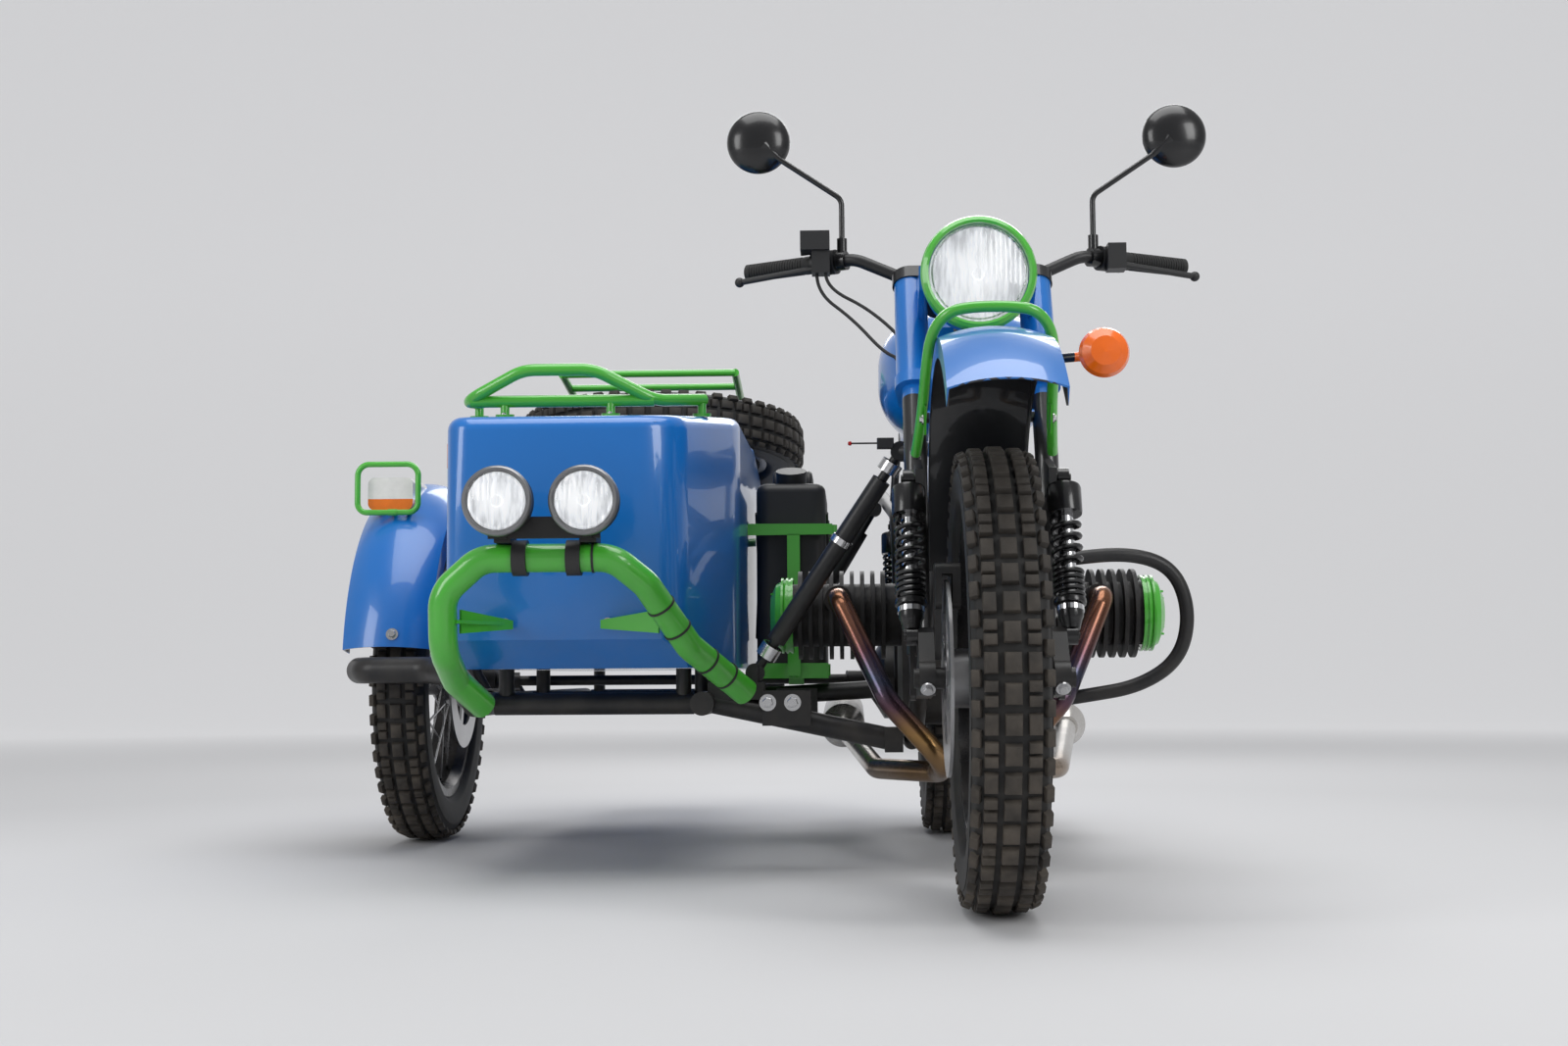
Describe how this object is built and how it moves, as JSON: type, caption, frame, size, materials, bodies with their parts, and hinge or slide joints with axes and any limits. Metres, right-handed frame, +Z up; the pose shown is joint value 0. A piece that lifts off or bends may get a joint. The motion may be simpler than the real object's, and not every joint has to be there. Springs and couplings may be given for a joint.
{
  "type": "sidecar motorcycle",
  "caption": "Leading-link motorcycle with a passenger sidecar on its right side, spoked wheels, steering fork, spare wheel on a hinged trunk lid and tubular guards.",
  "frame": {"origin": "centre of the footprint box, on the ground under the tyres", "axes": "-Y is the front of the motorcycle, +X its left side, +Z up; the sidecar stands on the -X side"},
  "size_m": [1.667, 2.465, 1.365],
  "materials": {
    "blue paint": "gloss, deep clear coat",
    "green paint": "gloss powder coat",
    "black paint": "satin powder coat",
    "engine alloy": "cast, satin black heat paint",
    "black alloy": "black heat paint on cast fins",
    "bare alloy": "machined",
    "brushed steel": "brushed",
    "exhaust steel": "heat-tinted brown",
    "tyre rubber": "matt, moulded knobs",
    "rubber": "matt",
    "black plastic": "matt",
    "gloss black": "gloss",
    "amber": "clear amber moulding",
    "red lens": "clear red moulding",
    "marker lens": "clear over reflector, amber below",
    "vinyl": "grained black seat cover",
    "glass": "clear, fluted"
  },
  "bodies": {
    "chassis": {"bumper": "green paint", "can_holder": "green paint", "cylinders": "black alloy", "drive_shaft": "black paint", "driving_lamps": "gloss black", "driving_lenses": "glass", "engine_block": "engine alloy", "engine_guard": "black paint", "exhaust": "exhaust steel", "frame_loop_left": "black paint", "frame_loop_right": "black paint", "frame_spine": "black paint", "fuel_can": "black plastic", "fuel_tank": "blue paint", "lamp_guard": "green paint", "marker_lamp": "marker lens", "nose_rail": "green paint", "rear_fender": "blue paint", "rear_shocks": "black paint", "saddle": "vinyl", "sidecar_arm": "black paint", "sidecar_body": "blue paint", "sidecar_chassis": "black paint", "sidecar_fender": "blue paint", "sidecar_mounts": "black paint", "sidecar_seat": "vinyl", "swingarm": "black paint", "tail_lamp": "red lens", "valve_covers": "green paint", "wheel_hoop": "black paint"},
    "steering": {"fork": "black paint", "leading_arms": "black paint", "fork_shocks": "black paint", "front_fender": "blue paint", "fender_hoop": "green paint", "headlamp_shell": "blue paint", "headlamp_rim": "green paint", "headlamp_lens": "glass", "lamp_ears": "blue paint", "indicator": "amber", "handlebar": "black paint", "grips": "rubber", "hand_controls": "black plastic", "mirrors": "black plastic", "brake_caliper": "black paint", "cables": "rubber"},
    "front_wheel": {"tyre_front": "tyre rubber", "wheel_front": "bare alloy", "disc_front": "brushed steel"},
    "rear_wheel": {"tyre_rear": "tyre rubber", "wheel_rear": "bare alloy", "disc_rear": "brushed steel"},
    "sidecar_wheel": {"tyre_sidecar": "tyre rubber", "wheel_sidecar": "bare alloy", "disc_sidecar": "brushed steel"},
    "trunk_lid": {"trunk_lid": "blue paint", "tyre_spare": "tyre rubber", "wheel_spare": "bare alloy", "luggage_rack": "green paint"}
  },
  "joints": [
    {"name": "steer", "type": "hinge", "parent": "chassis", "child": "steering", "pos_m": [0.402, -0.5263, 0.808], "axis": [0, 0.454, 0.891], "range_deg": [-32, 32]},
    {"name": "front_axle", "type": "hinge", "parent": "steering", "child": "front_wheel", "pos_m": [0.402, -0.888, 0.345], "axis": [1, 0, 0], "continuous": true},
    {"name": "rear_axle", "type": "hinge", "parent": "chassis", "child": "rear_wheel", "pos_m": [0.402, 0.582, 0.345], "axis": [1, 0, 0], "continuous": true},
    {"name": "sidecar_axle", "type": "hinge", "parent": "chassis", "child": "sidecar_wheel", "pos_m": [-0.733, 0.422, 0.345], "axis": [1, 0, 0], "continuous": true},
    {"name": "lid_hinge", "type": "hinge", "parent": "chassis", "child": "trunk_lid", "pos_m": [-0.273, 0.434, 0.872], "axis": [1, 0, 0], "range_deg": [0, 60]}
  ]
}
